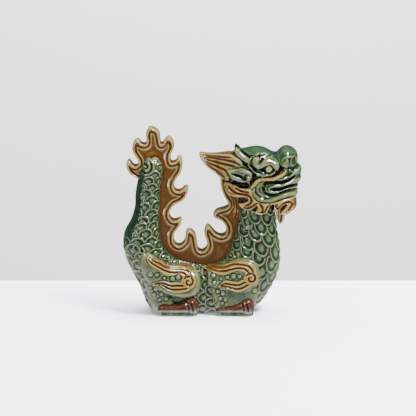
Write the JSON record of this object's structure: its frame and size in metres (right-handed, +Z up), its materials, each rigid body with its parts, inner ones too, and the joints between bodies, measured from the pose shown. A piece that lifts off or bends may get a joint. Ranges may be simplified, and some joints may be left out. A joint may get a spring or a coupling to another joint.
{
  "type": "dragon figurine",
  "caption": "Standing East Asian dragon figurine in green and amber glazed ceramic, tail upright, with a flame crest round the open curve of its back.",
  "frame": {"origin": "on the table, under the middle of the figure's bounding box", "axes": "+X from the tail towards the nose, +Y from the creature's right flank to its left, +Z up"},
  "size_m": [0.141, 0.0476, 0.149],
  "materials": {
    "green_glaze": "glossy translucent green lead glaze, pooled dark in the carving",
    "amber_glaze": "glossy amber-brown glaze, pale on the ridges",
    "brown_glaze": "glossy red-brown glaze over the paws",
    "eye_glaze": "thin clear glaze over a pale eyeball",
    "bare_clay": "unglazed fired buff clay, matt"
  },
  "bodies": {
    "root": {"body_right_shell": "green_glaze", "body_left_shell": "green_glaze", "belly_floor": "bare_clay", "flame_crest": "amber_glaze", "mane_plume": "amber_glaze", "head": "green_glaze", "nose": "green_glaze", "lower_jaw": "green_glaze", "chin_tuft": "amber_glaze", "brow_right": "green_glaze", "brow_left": "green_glaze", "eye_right": "eye_glaze", "eye_left": "eye_glaze", "horn_right": "green_glaze", "horn_left": "green_glaze", "ear_right": "green_glaze", "ear_left": "green_glaze", "lip_band_right": "amber_glaze", "lip_band_left": "amber_glaze", "beard_right": "amber_glaze", "beard_left": "amber_glaze", "haunch_right": "green_glaze", "haunch_left": "green_glaze", "shoulder_right": "green_glaze", "shoulder_left": "green_glaze", "hind_foot_right": "brown_glaze", "hind_foot_left": "brown_glaze", "fore_foot_right": "brown_glaze", "fore_foot_left": "brown_glaze", "hind_scroll_right": "amber_glaze", "hind_scroll_left": "amber_glaze", "fore_scroll_right": "amber_glaze", "fore_scroll_left": "amber_glaze"}
  },
  "joints": []
}
